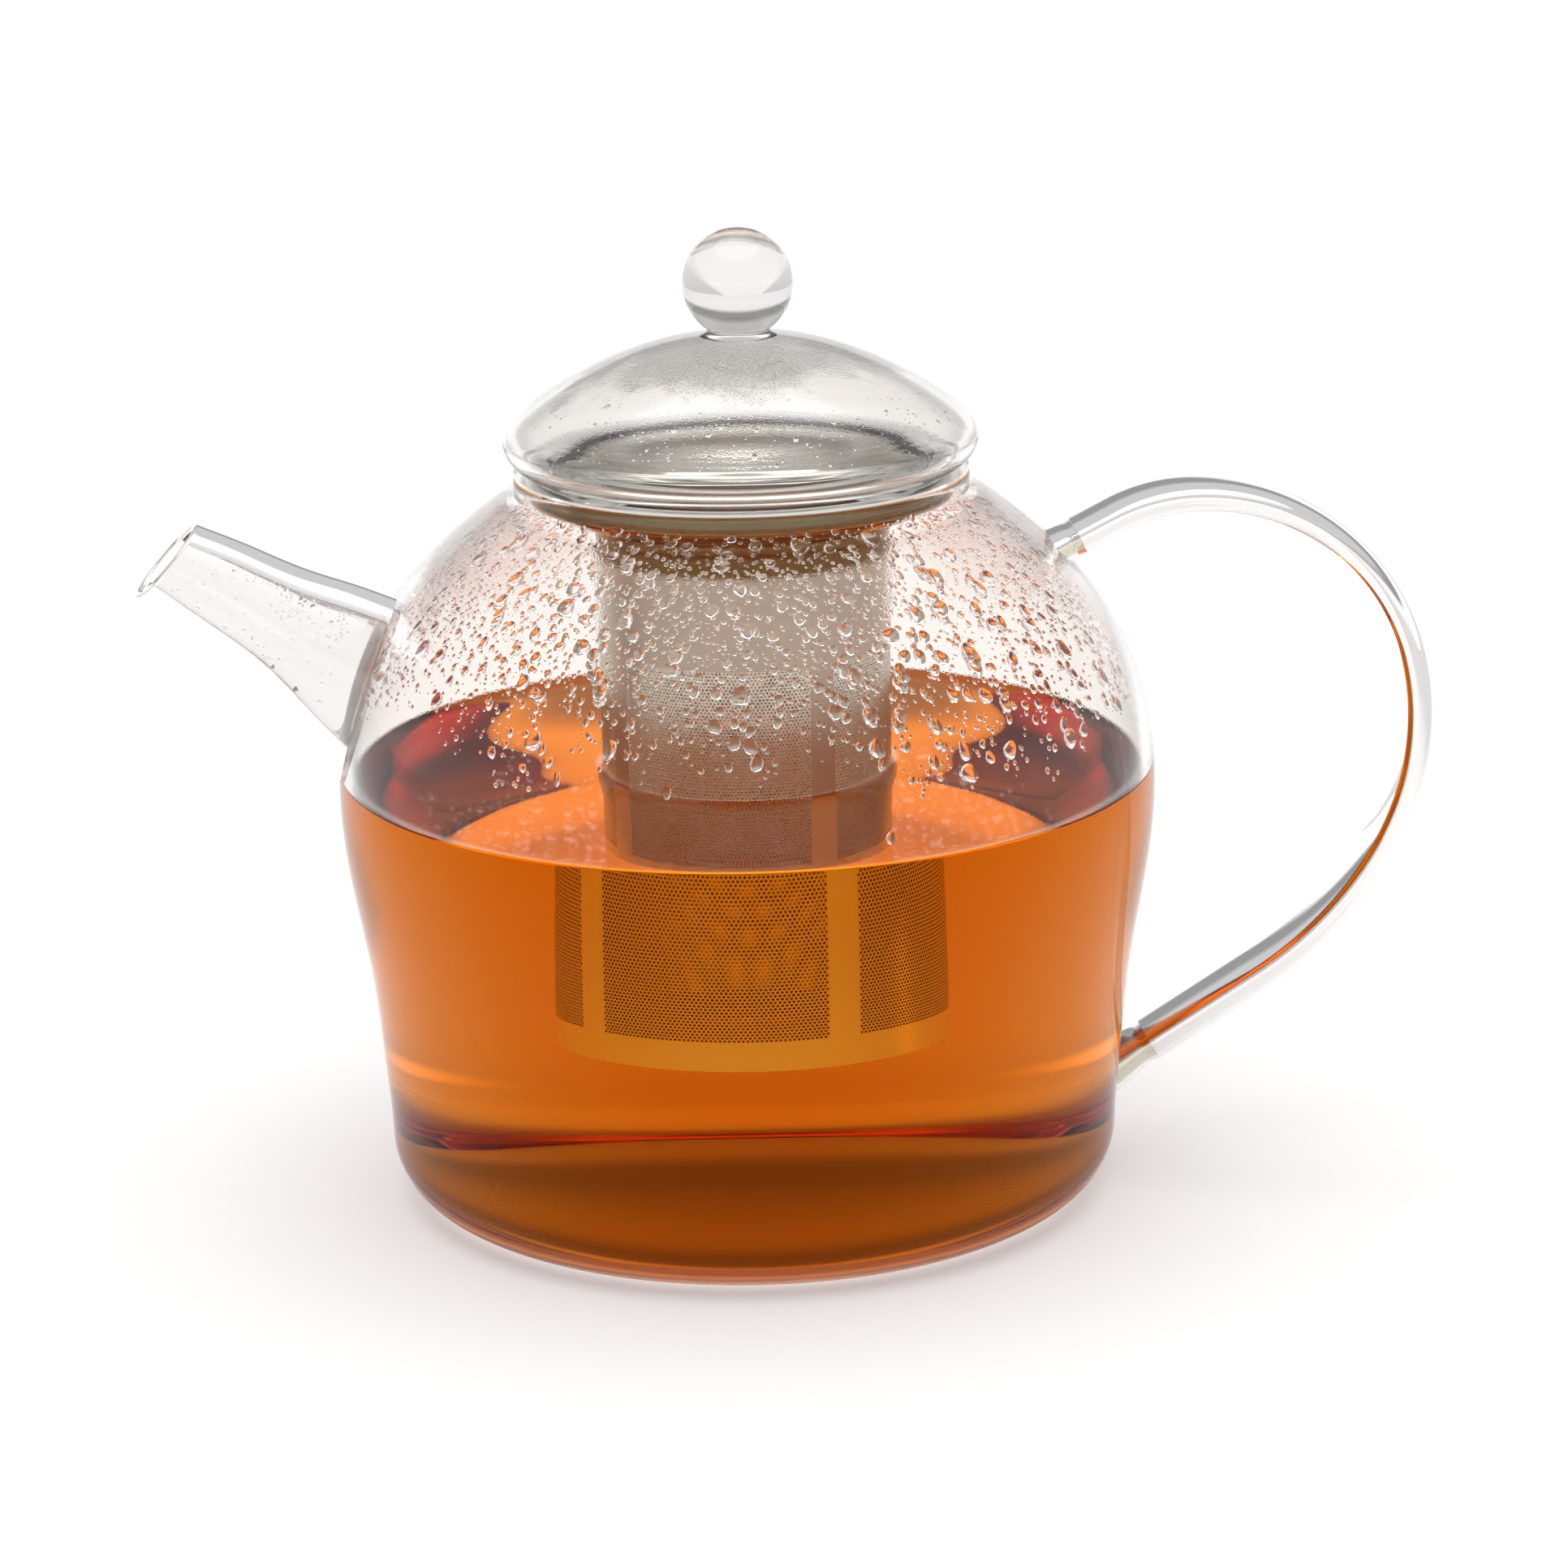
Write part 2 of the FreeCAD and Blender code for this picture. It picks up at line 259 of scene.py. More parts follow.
def loft(name, rings, hollow=False):
    """A skin over rings of equal point counts. Its ends are closed, unless it is a hollow loop."""
    rings = [np.asarray(ring, float) for ring in rings]
    count = len(rings[0])
    verts = np.vstack(rings)
    faces = []
    last = len(rings) if hollow else len(rings) - 1
    for i in range(last):
        a, b = i * count, ((i + 1) % len(rings)) * count
        for k in range(count):
            j = (k + 1) % count
            faces.append((a + k, a + j, b + j, b + k))
    if not hollow:
        faces.append(tuple(range(count))[::-1])
        faces.append(tuple(range((len(rings) - 1) * count, len(rings) * count)))
    return make_object(name, verts, faces)


def cut(obj, tool):
    """Takes the tool's solid away from the object, for good."""
    modifier = obj.modifiers.new("cut", "BOOLEAN")
    modifier.operation = "DIFFERENCE"
    modifier.solver = "MANIFOLD"
    modifier.object = tool
    depsgraph = bpy.context.evaluated_depsgraph_get()
    result = bpy.data.meshes.new_from_object(obj.evaluated_get(depsgraph))
    obj.modifiers.remove(modifier)
    obj.data = result
    shade(obj)
    return obj


def discard(obj):
    bpy.data.objects.remove(obj, do_unlink=True)


def dress(obj, materials):
    """Gives a piece its materials, unless it has them already. A cut leaves an empty slot, which
    is cleared first. Without one nothing is cleared, because that would reset the marks."""
    slots = obj.data.materials
    if not any(slots):
        if len(slots):
            slots.clear()
        for material in materials:
            slots.append(material)


def finish_piece(obj, body, slot, materials, *nodes):
    """Dresses a piece, lets it ride on its body and hides the CAD nodes that it stands for."""
    dress(obj, materials)
    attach(obj, body)
    if nodes:
        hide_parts(*nodes)
    return obj


# ---- materials ----
def new_material(name):
    material = bpy.data.materials.new(name)
    material.use_nodes = True
    tree = material.node_tree
    tree.nodes.clear()
    output = tree.nodes.new("ShaderNodeOutputMaterial")
    shader = tree.nodes.new("ShaderNodeBsdfPrincipled")
    tree.links.new(shader.outputs["BSDF"], output.inputs["Surface"])
    return material, tree, shader, output


def set_inputs(node, values):
    """Gives a node's sockets their values, by the sockets' names."""
    for name, value in values.items():
        node.inputs[name].default_value = value


def coordinates(tree, scale=(1, 1, 1)):
    """Object coordinates, scaled along each axis."""
    source = tree.nodes.new("ShaderNodeTexCoord")
    mapping = tree.nodes.new("ShaderNodeMapping")
    set_inputs(mapping, {"Scale": scale})
    tree.links.new(source.outputs["Object"], mapping.inputs["Vector"])
    return mapping.outputs["Vector"]


def axes(tree, vector):
    """A vector's three numbers, by the names of their axes."""
    node = tree.nodes.new("ShaderNodeSeparateXYZ")
    tree.links.new(vector, node.inputs[0])
    return node.outputs


def noise(tree, vector, scale, detail=3.0, roughness=0.5):
    node = tree.nodes.new("ShaderNodeTexNoise")
    set_inputs(node, {"Scale": scale, "Detail": detail, "Roughness": roughness})
    tree.links.new(vector, node.inputs["Vector"])
    return node.outputs["Fac"]


def remap(tree, value, from_low, from_high, to_low, to_high, soft=False):
    node = tree.nodes.new("ShaderNodeMapRange")
    if soft:
        node.interpolation_type = "SMOOTHSTEP"
    set_inputs(node, {"From Min": from_low, "From Max": from_high, "To Min": to_low, "To Max": to_high})
    tree.links.new(value, node.inputs["Value"])
    return node.outputs["Result"]


def math_node(tree, operation, a, b):
    node = tree.nodes.new("ShaderNodeMath")
    node.operation = operation
    for socket, value in zip(node.inputs, (a, b)):
        if isinstance(value, (int, float)):
            socket.default_value = value
        else:
            tree.links.new(value, socket)
    return node.outputs[0]


def bump(tree, shader, height, distance, strength=1.0):
    node = tree.nodes.new("ShaderNodeBump")
    set_inputs(node, {"Distance": distance, "Strength": strength})
    tree.links.new(height, node.inputs["Height"])
    tree.links.new(node.outputs["Normal"], shader.inputs["Normal"])


GLASS_IOR = 1.47
WALL_IOR = 1.22                 # kept low in the thin wall of the pot, which mirrors very little
WATER_IOR = 1.333
WHITE = (1, 1, 1)
DRAWN = (1, 1, 0.35)            # scale of the glass's waves, which are longest along Z
WAVY, CALM = 0.00001, 0.000006  # height of those waves, in metres
FOG_TINT = (0.92, 0.885, 0.85)
TEA_COLOUR = (0.915, 0.685, 0.05, 1)
TEA_DENSITY = 56.0              # per metre


def glass_base(shader, ior, tint=WHITE, glint=1.0):
    """A see-through shader. glint dims what it mirrors where it is looked at squarely."""
    set_inputs(shader, {"Base Color": (*tint, 1), "Transmission Weight": 1, "IOR": ior,
                        "Specular Tint": (glint, glint, glint, 1)})


def smooth_glass(name, ior, roughness=0.0):
    """Glass or water of one look all over."""
    material, _, shader, _ = new_material(name)
    glass_base(shader, ior)
    set_inputs(shader, {"Roughness": roughness})
    return material


def clear_glass(name, tint, waviness=CALM, glint=1.0, ior=GLASS_IOR):
    """Blown borosilicate: very smooth, with the slight waves that drawing leaves."""
    material, tree, shader, _ = new_material(name)
    glass_base(shader, ior, tint, glint)
    place = coordinates(tree, DRAWN)
    roughness = remap(tree, noise(tree, place, 60), 0.4, 0.75, 0, 0.02)
    tree.links.new(roughness, shader.inputs["Roughness"])
    bump(tree, shader, noise(tree, place, 45, 2), waviness)
    return material


def fogged_glass(name, low, high, heavy, ior=GLASS_IOR):
    """Glass under a film of fine condensation, from a clear edge at low to full fog at high."""
    material, tree, shader, _ = new_material(name)
    glass_base(shader, ior, FOG_TINT, 0.4)
    place = coordinates(tree)
    patches = noise(tree, place, 42, 4, 0.6)
    height = remap(tree, axes(tree, place)["Z"], low * MM, high * MM, -0.35, 0.45)
    film = remap(tree, math_node(tree, "ADD", patches, height), 0.38, 0.72, 0.015, heavy, True)
    tree.links.new(film, shader.inputs["Roughness"])
    beads = tree.nodes.new("ShaderNodeTexVoronoi")
    set_inputs(beads, {"Scale": 2600})
    tree.links.new(place, beads.inputs["Vector"])
    domes = math_node(tree, "MULTIPLY", beads.outputs["Distance"], film)
    bump(tree, shader, domes, -0.0004, 0.6)
    return material


def tea_material(name, ior):
    """The brew. Its colour is absorbed along the way through it, so thin tea is paler."""
    material, tree, shader, output = new_material(name)
    glass_base(shader, ior)
    set_inputs(shader, {"Roughness": 0})
    absorb = tree.nodes.new("ShaderNodeVolumeAbsorption")
    set_inputs(absorb, {"Color": TEA_COLOUR, "Density": TEA_DENSITY})
    tree.links.new(absorb.outputs["Volume"], output.inputs["Volume"])
    return material


SPUN_STEEL = (0.95, 0.93, 0.9, 1)
# painted dark reflection: the collar's outside in the neck is coloured dark for what it mirrors
DARK_REFLECTION_STEEL = (0.25, 0.2, 0.12, 1)
# painted reflection of the tea: the collar's funnel and skirt are coloured brown
TEA_REFLECTION_STEEL = (0.2, 0.1, 0.02, 1)
ROLLED_STEEL = (0.93, 0.91, 0.88, 1)
# a darker, warmer copy of the rolled sheet, used on the sleeve above the tea line
STEEL_ABOVE_TEA_COLOUR = (0.6, 0.5, 0.42, 1)
# painted shade: the perforated panels are coloured darker and warmer than the plain parts of the same
# sheet
SHADED_PERFORATED_STEEL = (0.84, 0.78, 0.68, 1)


def spun_steel(name, colour):
    """The turned collar, with the fine rings that the spinning left."""
    material, tree, shader, _ = new_material(name)
    set_inputs(shader, {"Base Color": colour, "Metallic": 1})
    turning = noise(tree, coordinates(tree, (1, 1, 4)), 700, 4, 0.6)
    tree.links.new(remap(tree, turning, 0.3, 0.7, 0.13, 0.2), shader.inputs["Roughness"])
    bump(tree, shader, turning, 0.000002)
    return material


def sheet_steel(name, colour, roughness):
    """Rolled and brushed stainless sheet. Its detail is its holes, so the metal is plain."""
    material, tree, shader, _ = new_material(name)
    set_inputs(shader, {"Base Color": colour, "Metallic": 1, "Roughness": roughness,
                        "Anisotropic": 0.3})
    return material


# ---- glass body ----
SHOULDER_END = (NECK_R + SHOULDER_OUT, RIM_Z - SHOULDER_DROP)
BELLY_START_SLOPE = (0.02, 1)
SHOULDER_SLOPE = (-0.86, 0.51)
BELLY_POINTS = [
    (FOOT_R + HEEL_R, HEEL_R),
    (68.7, 26.0),
    (70.4, 43.0),
    (BELLY_R - 1.4, 61.5),
    (BELLY_R, BELLY_Z),
    (71.2, 99.0),
    (62.3, 114.7),
    (51.6, 125.2),
    SHOULDER_END,
]
BELLY_STEP = 1.8
CLEAR, WETTED, FOGGED, GROUND = range(4)


def outer_line():
    """The outside of the pot from the foot's edge up to the neck, as (r, z) points."""
    heel = arc((FOOT_R, HEEL_R), HEEL_R, -90, 0, 17)
    slope = unit(SHOULDER_SLOPE)
    belly = smooth(BELLY_POINTS, unit(BELLY_START_SLOPE), slope, BELLY_STEP)
    neck_foot = np.array((NECK_R, RIM_Z - NECK_RISE))
    shoulder = np.array(SHOULDER_END)
    turn = []
    for u in np.linspace(0, 1, 8)[1:]:
        onwards = shoulder + slope * 2.2 * u
        from_below = neck_foot - np.array((0, 1.6)) * (1 - u)
        turn.append(onwards * (1 - u) + from_below * u)
    return joined(heel, belly, turn)


def inner_line():
    """The inside of the pot. It is a wall's thickness from the outside, but turns into the floor
    on a wider curve, so the glass is thick in the heel."""
    line = shifted(OUTSIDE, WALL)
    top = FLOOR + INNER_HEEL_R
    wall = line[line[:, 1] > top]
    centre = (wall[0][0] - INNER_HEEL_R, top)
    return joined(arc(centre, INNER_HEEL_R, -90, 0, 20)[:-1], wall)


OUTSIDE = outer_line()
INSIDE = inner_line()


def floor_line(level, edge, punt, start):
    """From the axis out to where the inner wall's line starts, easing up onto it."""
    radii = np.linspace(0, 1, 24) * start[0]
    rise = np.clip((radii - edge) / (start[0] - edge), 0, 1)
    height = level + punt * np.clip(1 - (radii / edge) ** 2, 0, 1) + (start[1] - level) * rise ** 2
    return np.column_stack([radii, height])


def with_level(line, z):
    """The line with a point added where it passes a height."""
    i = int(np.argmax(line[:, 1] > z))
    share = (z - line[i - 1, 1]) / (line[i, 1] - line[i - 1, 1])
    return np.insert(line, i, line[i - 1] + (line[i] - line[i - 1]) * share, axis=0)


def body_outline():
    """The pot's outline and, for each of its edges, which look it has."""
    rim_r = NECK_R - WALL / 2
    rim = arc((rim_r, RIM_Z - WALL / 2), WALL / 2, 0, 180, 13)
    base = floor_line(0, FOOT_R - 2, PUNT, (FOOT_R, 0))
    inside = with_level(INSIDE, TEA_CONTACT_Z)
    floor = floor_line(FLOOR, inside[0][0] - 6, PUNT, inside[0])
    outside = joined(base, OUTSIDE, rim)
    outline = joined(outside, inside[::-1], floor[::-1])
    marks = []
    for i, z in enumerate(outline[:, 1]):
        if i < len(outside):
            marks.append(GROUND if i < len(outside) / 2 and z < GROUND_TOP else CLEAR)
        elif z < TEA_CONTACT_Z + 1e-6:
            marks.append(WETTED)
        else:
            marks.append(FOGGED if z < FOG_TOP else CLEAR)
    return outline, marks


def belly_fill(margin):
    """The pot's outside as one solid, a little larger by margin."""
    line = shifted(OUTSIDE, -margin)
    return lathe("belly_fill", joined((0, -margin), line, (line[-1][0], RIM_Z), (0, RIM_Z)))


# ---- spout ----
# Middle x, middle z, half height, half breadth and lean of each section, from root to mouth
SPOUT_SECTIONS = (
    (-66.0, 94.5, 18.6, 13.6, 67.0),
    (-75.2, 101.3, 15.9, 12.8, 67.0),
    (-85.1, 109.3, 12.0, 11.2, 60.5),
    (-94.8, 115.9, 10.3, 10.0, 56.0),
    (-103.9, 121.8, 8.9, 9.2, 47.5),
)
SPOUT_WALL = 1.7
SPOUT_STEP = 1.0


def spout_rings(inward, extra=0.0):
    """Elliptical rings along the spout. extra carries both ends on past the glass."""
    sections = np.array(SPOUT_SECTIONS)
    if extra:
        for end, beside in ((0, 1), (-1, -2)):
            sections[end, :2] += (sections[end, :2] - sections[beside, :2]) * extra
    first, last = unit(sections[1] - sections[0]), unit(sections[-1] - sections[-2])
    rings = []
    for x, z, tall, broad, lean in smooth(sections, first, last, SPOUT_STEP):
        tilt = math.radians(lean)
        angles = np.linspace(0, TAU, SPOUT_SEGMENTS, endpoint=False)
        up = np.sin(angles) * (tall - inward)
        side = np.cos(angles) * (broad - inward)
        rings.append(np.column_stack([x + math.cos(tilt) * up, side, z + math.sin(tilt) * up]))
    return rings


def make_spout(fill):
    """A tube with a rounded lip, cut to sit on the belly."""
    outer, bore = spout_rings(0), spout_rings(SPOUT_WALL)
    middle = (outer[-1] + bore[-1]) / 2
    outwards = unit(outer[-1].mean(0) - outer[-2].mean(0)) * SPOUT_WALL / 2
    lip = []
    for turn in np.radians(np.linspace(0, 180, 9)[1:-1]):
        lip.append(middle + (outer[-1] - middle) * math.cos(turn) + outwards * math.sin(turn))
    spout = loft("spout_tube", outer + lip + bore[::-1], hollow=True)
    return cut(spout, fill)


# ---- handle ----
# Arcs are (radius, degrees), of which the first ends at the crest. The runs are straight
HANDLE_CREST = (83.2, 127.8)
HANDLE_UPPER_RUN = 7.0
HANDLE_ARCS = ((34.7, 26.6), (40.8, 76.0), (50.8, 46.2), (68.9, 25.8))
HANDLE_LOWER_RUN = 23.5
HANDLE_STEP = 1.3
BOSS_REACH = 12.0
BOSS_SCALES = ((0.0, 1.0), (0.15, 0.92), (0.35, 1.0), (1.0, 1.3))   # along the reach


def heading(angle):
    return np.array((math.cos(angle), math.sin(angle)))


def handle_line():
    """The rod's centre line from its upper end to its lower one, as places in the XZ plane with
    the angle at which it passes each."""
    radius, degrees = HANDLE_ARCS[0]
    angle = math.radians(degrees)
    place = np.array(HANDLE_CREST) - (0, radius) + heading(math.pi / 2 + angle) * radius
    points = [(place - heading(angle) * HANDLE_UPPER_RUN * (1 - u), angle)
              for u in np.arange(0, 1, HANDLE_STEP / HANDLE_UPPER_RUN)]
    for radius, degrees in HANDLE_ARCS:
        sweep = math.radians(degrees)
        centre = place + heading(angle - math.pi / 2) * radius
        for turn in np.arange(0, 1, HANDLE_STEP / (radius * sweep)):
            here = angle - sweep * turn
            points.append((centre + heading(here + math.pi / 2) * radius, here))
        angle -= sweep
        place = centre + heading(angle + math.pi / 2) * radius
    steps = math.ceil(HANDLE_LOWER_RUN / HANDLE_STEP)
    for u in np.linspace(0, 1, steps + 1):
        points.append((place + heading(angle) * HANDLE_LOWER_RUN * u, angle))
    return points


def strap_ring(place, angle, scale=1.0):
    """A flattened round section, standing square to the rod's line in the XZ plane."""
    across = heading(angle + math.pi / 2)
    angles = np.linspace(0, TAU, ROD_SEGMENTS, endpoint=False)
    thick, broad = HANDLE_THICK * scale / 2, HANDLE_BROAD * scale / 2
    power = 2 / HANDLE_SQUARENESS
    high = thick * np.sign(np.sin(angles)) * np.abs(np.sin(angles)) ** power
    wide = broad * np.sign(np.cos(angles)) * np.abs(np.cos(angles)) ** power
    return np.column_stack([place[0] + across[0] * high, wide, place[1] + across[1] * high])


def make_handle():
    return loft("handle_rod", [strap_ring(place, angle) for place, angle in handle_line()][::-1])


def make_boss(name, place, inward, fill):
    """A fused foot: it necks in beside the rod and flares onto the belly."""
    angle = math.atan2(inward[1], inward[0])
    reaches, scales = zip(*BOSS_SCALES)
    rings = []
    for u in np.linspace(0, 1, 25):
        eased = np.interp(u, reaches, scales)
        centre = np.array(place) + np.array(inward) * (FUSED + BOSS_REACH * u)
        rings.append(strap_ring(centre, angle, eased))
    boss = loft(name, rings[::-1])
    return cut(boss, fill)


# ---- tea ----
CLIMB_WIDTH = 1.9
SLEEVE_CLIMB = 0.9
SLEEVE_CLIMB_WIDTH = 1.2


def tea_outline():
    """The brew fills the pot, climbs the wall a little and the sleeve too. The marks tell its
    sides, which lie on the glass, from its open surface."""
    line = with_level(INSIDE, TEA_CONTACT_Z)
    floor = floor_line(FLOOR, line[0][0] - 6, PUNT, line[0]) + (0, TEA_FILM)
    wall = shifted(line, TEA_FILM)[line[:, 1] < TEA_CONTACT_Z + 1e-6]
    top_r = wall[-1][0]
    stretches = ((0, SLEEVE_R - 4, 14), (SLEEVE_R - 3.6, SLEEVE_R + 4, 26),
                 (SLEEVE_R + 6, top_r - 7, 18), (top_r - 6.5, top_r, 36))
    radii = np.concatenate([np.linspace(*stretch) for stretch in stretches])
    climb = MENISCUS * np.exp(-(top_r - radii) / CLIMB_WIDTH)
    sleeve = SLEEVE_CLIMB * np.exp(-np.abs(radii - SLEEVE_R) / SLEEVE_CLIMB_WIDTH)
    surface = np.column_stack([radii, TEA_Z + climb + sleeve])
    sides = joined(floor, wall)
    outline = joined(sides, surface[::-1])
    return outline, [0 if i < len(sides) - 1 else 1 for i in range(len(outline))]


# ---- strainer ----
PITCH = 0.70                    # between holes in a row
ROW_RISE = PITCH * math.sin(math.radians(60))
HOLE_R = 0.25
PANELS = 4
PANEL_HOLES = 52                # holes in a row of a panel
PANEL_ROWS = 104
PANEL_FOOT = SLEEVE_FOOT + 6.0
STRIP_AZIMUTH = -63.0           # middle of one of the plain strips


def bent(xs, zs, radius, start):
    """Points of a flat sheet rolled onto a radius. x runs round the sleeve from angle start."""
    angles = start + np.asarray(xs) / SLEEVE_R
    return np.column_stack([radius * np.cos(angles), radius * np.sin(angles), zs])


def panel_arrays(start):
    """A perforated panel's vertices and faces. Every hole sits in its own brick of the sheet."""
    columns, rows = PANEL_HOLES, PANEL_ROWS
    half = PITCH / 2
    across, levels = 2 * columns + 2, rows + 1
    grid_x = np.tile(np.arange(across) * half, levels)
    grid_z = np.repeat(PANEL_FOOT + np.arange(levels) * ROW_RISE, across)
    hole = np.radians(np.array((210, 270, 330, 30, 90, 150)))
    hole_x, hole_z, bricks, plain = [], [], [], []
    for row in range(rows):
        shift = row % 2
        low, high = row * across, (row + 1) * across
        for column in range(columns):
            i = 2 * column + shift
            bricks.append((low + i, low + i + 1, low + i + 2, high + i + 2, high + i + 1, high + i))
            hole_x.append((i + 1) * half + HOLE_R * np.cos(hole))
            hole_z.append(PANEL_FOOT + (row + 0.5) * ROW_RISE + HOLE_R * np.sin(hole))
        end = 0 if shift else across - 2
        plain.append((low + end, low + end + 1, high + end + 1, high + end))
    xs = np.concatenate([grid_x, np.concatenate(hole_x)])
    zs = np.concatenate([grid_z, np.concatenate(hole_z)])
    outer = bent(xs, zs, SLEEVE_R, start)
    inner = bent(xs, zs, SLEEVE_R - SHEET, start)
    sheet_points = len(xs)
    bricks, plain = np.array(bricks), np.array(plain)
    holes = len(grid_x) + np.arange(len(bricks) * 6).reshape(-1, 6)
    bricks_on, holes_on = np.roll(bricks, -1, axis=1), np.roll(holes, -1, axis=1)
    behind, behind_on = holes + sheet_points, holes_on + sheet_points
    front = np.stack([bricks, bricks_on, holes_on, holes], axis=2).reshape(-1, 4)
    walls = np.stack([holes, holes_on, behind_on, behind], axis=2).reshape(-1, 4)
    border = np.concatenate([np.arange(across), np.arange(1, levels) * across + across - 1,
                             (levels - 1) * across + np.arange(across - 2, -1, -1),
                             np.arange(levels - 2, 0, -1) * across])
    border_on = np.roll(border, -1)
    rim = np.stack([border, border + sheet_points, border_on + sheet_points, border_on], axis=1)
    faces = np.concatenate([front, plain, (front + sheet_points)[:, ::-1],
                            (plain + sheet_points)[:, ::-1], walls, rim])
    return np.vstack([outer, inner]), faces


def curved_box(start, end, low, high, inner_r, outer_r, steps):
    """Vertices and faces of a piece of tube between two angles and two heights."""
    angles = np.linspace(start, end, steps + 1)
    corners = ((inner_r, low), (outer_r, low), (outer_r, high), (inner_r, high))
    verts = [(r * math.cos(a), r * math.sin(a), z) for a in angles for r, z in corners]
    faces = []
    for i in range(steps):
        for k in range(4):
            j = (k + 1) % 4
            faces.append((4 * i + j, 4 * i + k, 4 * i + 4 + k, 4 * i + 4 + j))
    faces.append((0, 1, 2, 3))
    last = 4 * steps
    faces.append((last + 3, last + 2, last + 1, last))
    return np.array(verts), faces


def make_panels():
    """The perforated panels, the angle at which the first one starts and the angle of each."""
    quarter = TAU / PANELS
    width = (2 * PANEL_HOLES + 1) * PITCH / 2 / SLEEVE_R
    first = math.radians(STRIP_AZIMUTH) + (quarter - width) / 2
    panels = []
    for k in range(PANELS):
        verts, faces = panel_arrays(first + k * quarter)
        panels.append(make_object("strainer_panel_%d" % (k + 1), verts, faces.tolist(), None, 50))
    return panels, first, width


def make_sleeve(first, width):
    """The sleeve's plain parts: the bands above and below the holes and the strips between them.
    The marks tell the sheet under the tea from the darker, warmer sheet above it."""
    quarter = TAU / PANELS
    panel_top = PANEL_FOOT + PANEL_ROWS * ROW_RISE
    inner = SLEEVE_R - SHEET
    verts, faces, marks = [], [], []

    def add(begin, end, low, high, steps, mark):
        box_verts, box_faces = curved_box(begin, end, low, high, inner, SLEEVE_R, steps)
        start = sum(len(v) for v in verts)
        verts.append(box_verts)
        faces.extend([tuple(start + i for i in face) for face in box_faces])
        marks.extend([mark] * len(box_faces))

    for k in range(PANELS):
        begin = first + k * quarter
        add(begin + width, begin + quarter, PANEL_FOOT, TEA_Z, 12, 0)
        add(begin + width, begin + quarter, TEA_Z, panel_top, 12, 1)
        add(begin, begin + quarter, SLEEVE_FOOT, PANEL_FOOT, 60, 0)
        add(begin, begin + quarter, panel_top, SLEEVE_TOP, 60, 1)
    return make_object("strainer_sleeve_sheet", np.vstack(verts), faces, marks, 50)


def collar_outline():
    """The spun collar: flange, wall in the neck, funnel and skirt. Its marks are 0 above and inside,
    1 on the outside of the wall in the neck, which has a painted dark reflection, and 2 lower down on
    the outside, which has a painted reflection of the tea."""
    middle, skirt_r = FLANGE_Z - SHEET / 2, SLEEVE_R + SHEET / 2
    line = rounded(((FLANGE_R, middle), (COLLAR_R, middle), (COLLAR_R, COLLAR_FOOT), FUNNEL_POINT,
                    (skirt_r, SKIRT_TOP), (skirt_r, SKIRT_FOOT)),
                   (0.6, 2.0, 3.0, 1.2))
    line = refined(line, 1.5)
    outline = sheet_outline(line, SHEET)
    marks = [0 if i < len(line) or z > FLANGE_Z - 1.5 else (2 if z < TEA_REFLECTION_TOP else 1)
             for i, z in enumerate(outline[:, 1])]
    return outline, marks


def bottom_outline():
    """A pressed cup with a shallow ring in its floor, just inside the sleeve."""
    radius = SLEEVE_R - SHEET * 1.5
    low = SLEEVE_FOOT + SHEET / 2
    raised = low + 0.6
    line = rounded(((0, raised), (15, raised), (17, low), (radius, low), (radius, BOTTOM_HIGH.z)),
                   (1.5, 1.5, 1.4))
    half = SHEET / 2
    under, over = shifted(line, -half), shifted(line, half)
    under[0, 0] = over[0, 0] = 0
    return joined(under, over[::-1])


# ---- lid ----
LID_WIDEST_Z = 141.6
LID_CURL = 5.6
DOME_POINTS = [(0, LID_TOP), (15.7, 158.4), (30.5, 152.3), (39.0, 147.0), (LID_R, LID_WIDEST_Z)]


def dome_line():
    return smooth(DOME_POINTS, (1, 0), (0, -1), 1.2)


def dome_outline():
    """The dome curls in under its widest line and ends on the ring that hangs from it."""
    outside = dome_line()
    inside = shifted(outside, -LID_WALL)
    turn = np.linspace(0, math.pi / 2, 15)
    curl = np.column_stack([LID_R - LID_CURL * (1 - np.cos(turn)),
                            LID_WIDEST_Z - (LID_WIDEST_Z - LID_FOOT) * np.sin(turn)])
    inner_curl = shifted(curl, -LID_WALL)
    outer = joined(outside, curl, (LID_COLLAR_R, LID_FOOT))
    inner = joined(inside, inner_curl, (LID_COLLAR_R, LID_FOOT + LID_WALL))
    inner[0, 0] = 0
    outline = joined(outer, inner[::-1])[::-1]
    return outline, [1 if i < len(inner) - 20 else 0 for i in range(len(outline))]


def lid_collar_outline():
    foot, top = LID_COLLAR_LOW.z, LID_COLLAR_HIGH.z
    outer = LID_COLLAR_R - FUSED
    inner = outer - LID_WALL
    edge = arc((outer - LID_WALL / 2, foot + LID_WALL / 2), LID_WALL / 2, -180, 0, 9)
    side = refined(np.array(((outer, foot + 1), (outer, top))), 1.0)
    back = refined(np.array(((inner, top), (inner, foot + 1))), 1.0)
    return joined(edge, side, back)


